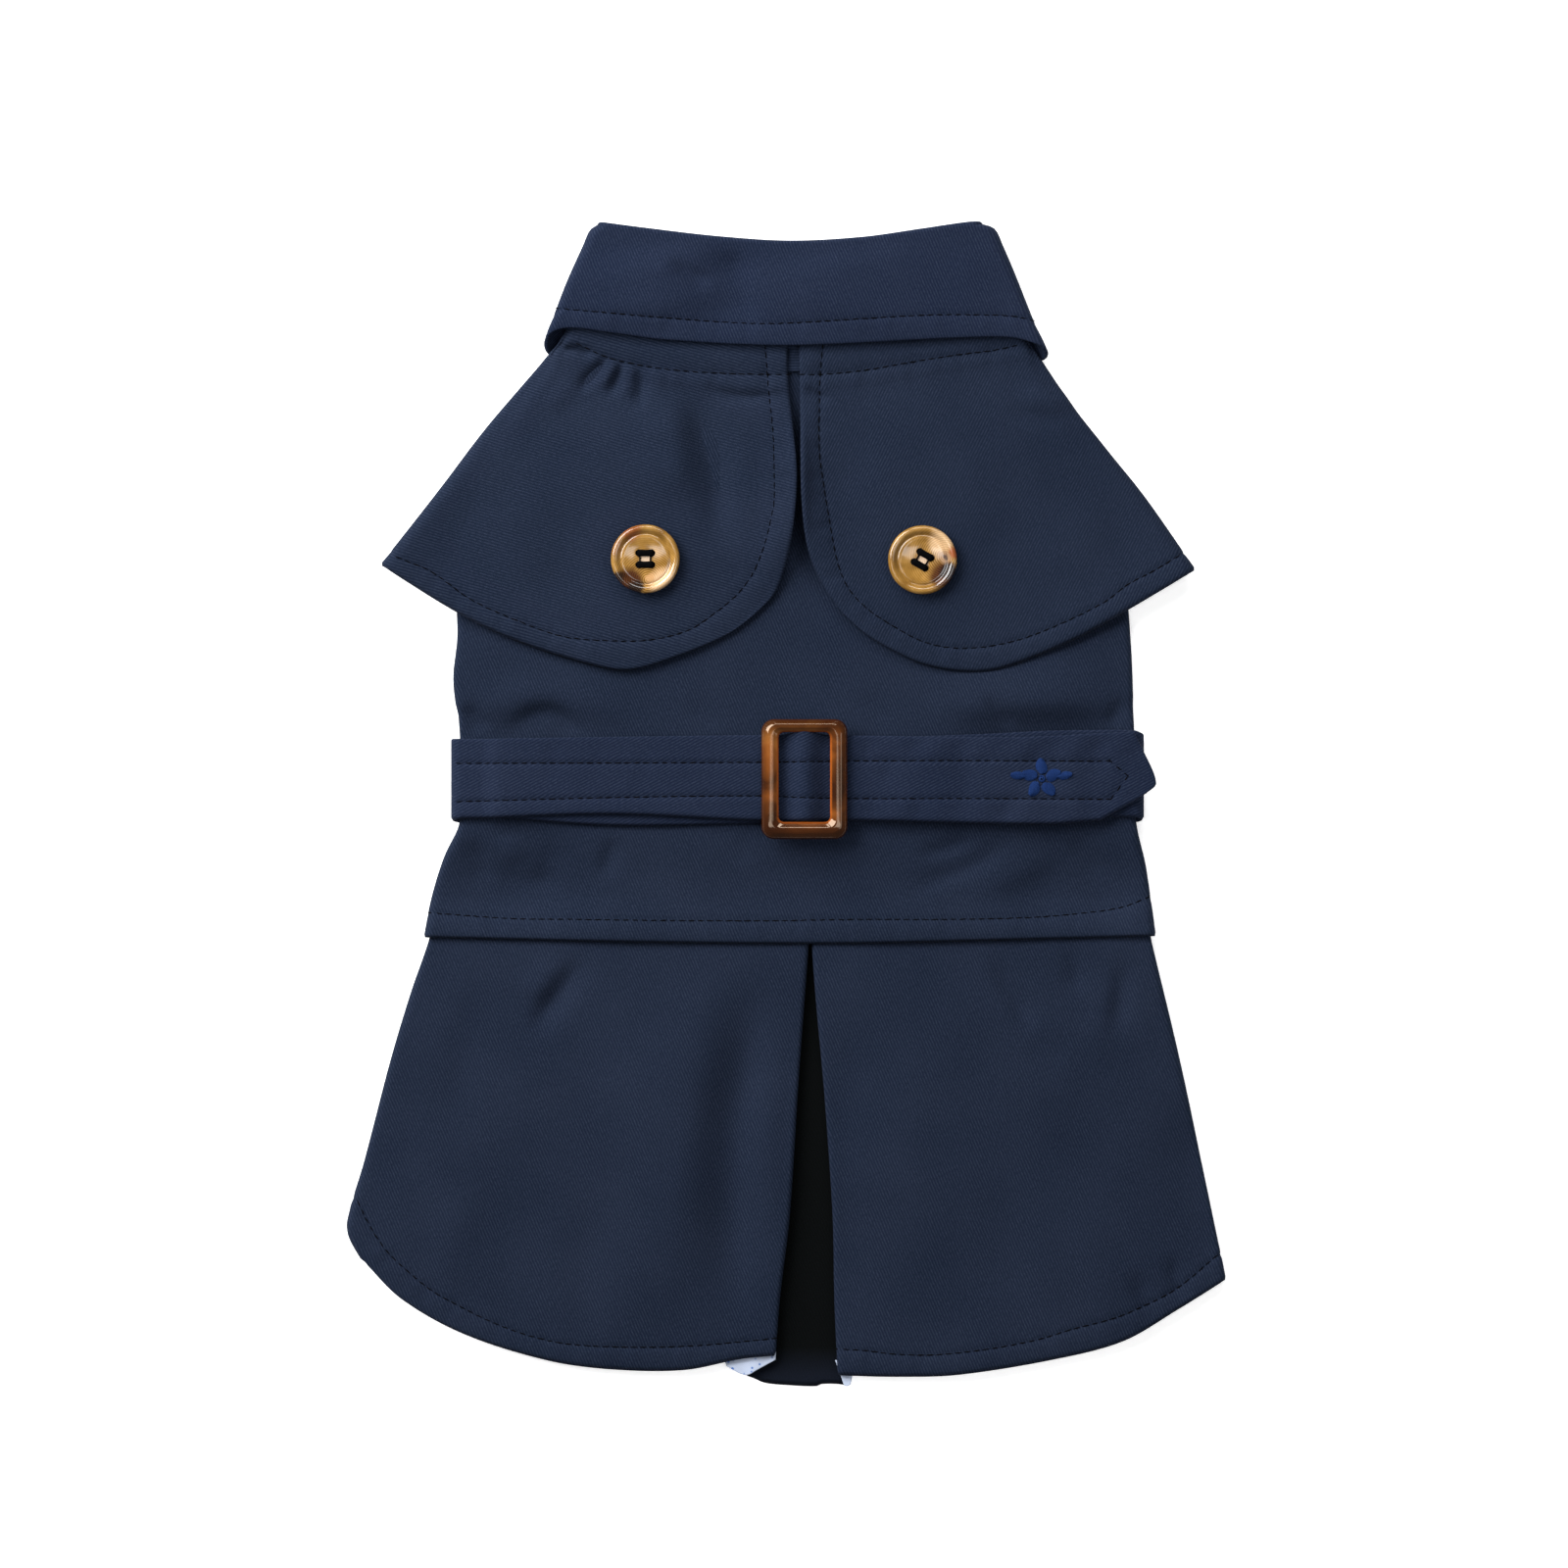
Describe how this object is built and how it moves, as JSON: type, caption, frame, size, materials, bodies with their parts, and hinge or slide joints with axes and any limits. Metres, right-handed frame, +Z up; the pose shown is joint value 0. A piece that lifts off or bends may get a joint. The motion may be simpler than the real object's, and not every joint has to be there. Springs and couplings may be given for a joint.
{
  "type": "dog dress",
  "caption": "Small dog's trench-style dress laid flat with its back up: fold-down collar, cape flaps with buttons, belt with slide buckle, skirt with an inverted box pleat.",
  "frame": {"origin": "on the surface that the dress lies on, under the centre of its outline", "axes": "+Y along the dress from hem to neck, +Z up out of the surface it lies on, +X to the right seen from above with the neck away"},
  "size_m": [0.2556, 0.3387, 0.0123],
  "materials": {
    "navy_twill": "matt cotton twill, steep diagonal rib, dark navy, with tone-on-tone topstitching",
    "tortoise_resin": "polished, marbled tortoise look",
    "horn_resin": "polished, marbled horn look",
    "printed_cotton": "white plain-weave cotton with a small blue print"
  },
  "bodies": {
    "root": {"bodice_back": "navy_twill", "belly_panel": "navy_twill", "cape_left": "navy_twill", "cape_right": "navy_twill", "collar_stand": "navy_twill", "collar_fall": "navy_twill", "belt_upper": "navy_twill", "belt_under": "navy_twill", "skirt_left": "navy_twill", "skirt_right": "navy_twill", "pleat_underlay": "navy_twill", "belt_slide": "tortoise_resin", "button_left": "horn_resin", "button_right": "horn_resin", "facing_left": "printed_cotton", "facing_right": "printed_cotton"}
  },
  "joints": []
}
